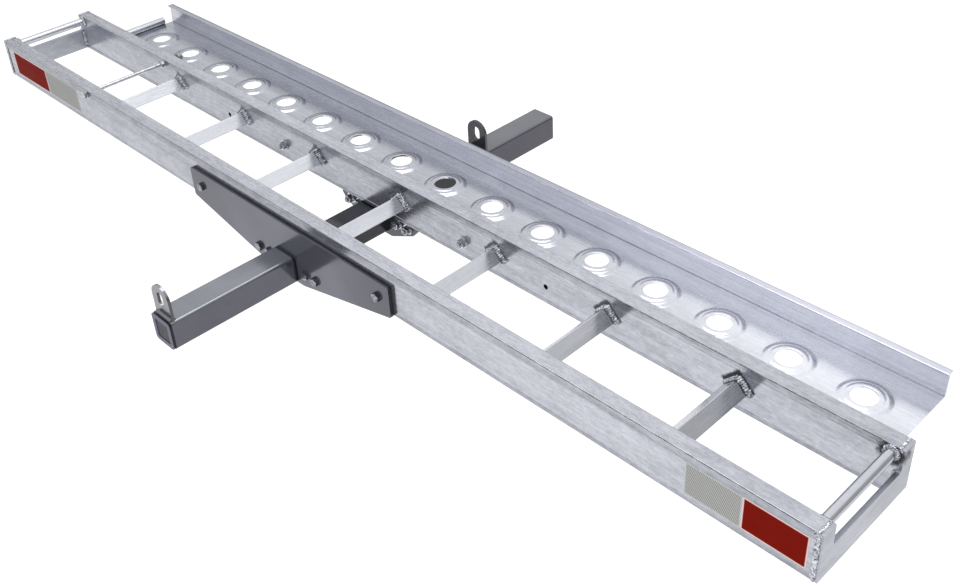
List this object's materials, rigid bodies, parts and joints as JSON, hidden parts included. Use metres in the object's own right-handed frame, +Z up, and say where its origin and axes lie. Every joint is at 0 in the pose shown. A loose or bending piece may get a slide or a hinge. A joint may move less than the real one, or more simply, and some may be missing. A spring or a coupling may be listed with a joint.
{
  "type": "hitch motorcycle carrier",
  "caption": "Hitch-mounted motorcycle carrier: an aluminium wheel track with rungs on a square steel hitch tube, with a punched loading ramp stowed beside it.",
  "frame": {"origin": "on the hitch tube's centre line, at the axis of the hitch pin", "axes": "+X along the wheel track, +Y towards the vehicle along the hitch tube, +Z up"},
  "size_m": [1.974, 0.86, 0.1412],
  "materials": {
    "rail_aluminium": "extruded, mill finish",
    "plate_aluminium": "sheared plate, mill finish",
    "bar_aluminium": "drawn round bar",
    "rung_aluminium": "extruded angle, bright",
    "weld_aluminium": "rippled weld bead with soot",
    "ramp_aluminium": "extruded channel, satin",
    "coated_steel": "grey powder coat, satin",
    "weld_steel": "weld bead under powder coat",
    "plain_steel": "plain",
    "zinc_steel": "zinc plated",
    "black_plastic": "moulded",
    "red_tape": "retroreflective tape",
    "white_tape": "retroreflective tape"
  },
  "bodies": {
    "carrier": {"front_rail": "rail_aluminium", "rear_rail": "rail_aluminium", "end_plate_left": "plate_aluminium", "end_plate_right": "plate_aluminium", "end_bar_left": "bar_aluminium", "end_bar_right": "bar_aluminium", "rung_1": "rung_aluminium", "rung_2": "rung_aluminium", "rung_3": "rung_aluminium", "rung_4": "rung_aluminium", "rung_5": "rung_aluminium", "rung_6": "rung_aluminium", "rung_7": "rung_aluminium", "rung_welds": "weld_aluminium", "end_welds": "weld_aluminium", "hitch_tube": "coated_steel", "tube_plug": "black_plastic", "pin_nut": "plain_steel", "tie_loop_outer": "coated_steel", "tie_loop_inner": "coated_steel", "loop_welds": "weld_steel", "front_gusset": "coated_steel", "rear_gusset": "coated_steel", "front_saddle": "coated_steel", "rear_saddle": "coated_steel", "gusset_bolts": "zinc_steel", "saddle_bolts": "zinc_steel", "clamp_washers": "zinc_steel", "clamp_nuts": "zinc_steel", "ramp_nuts": "zinc_steel", "long_bolt_washers": "zinc_steel", "long_bolt_nuts": "zinc_steel", "long_bolt_sleeve": "zinc_steel", "tape_left_red": "red_tape", "tape_left_white": "white_tape", "tape_right_red": "red_tape", "tape_right_white": "white_tape"},
    "ramp": {"ramp_channel": "ramp_aluminium", "ramp_hook_rod": "bar_aluminium", "ramp_rod_weld": "weld_aluminium", "ramp_bolts": "zinc_steel"},
    "retaining_bolt": {"long_bolt": "zinc_steel"}
  },
  "joints": [
    {"name": "ramp_release", "type": "slide", "parent": "carrier", "child": "ramp", "axis": [0, 1, 0], "range_m": [0, 0.065]},
    {"name": "retaining_bolt_draw", "type": "slide", "parent": "carrier", "child": "retaining_bolt", "axis": [0, -1, 0], "range_m": [0, 0.222]}
  ]
}
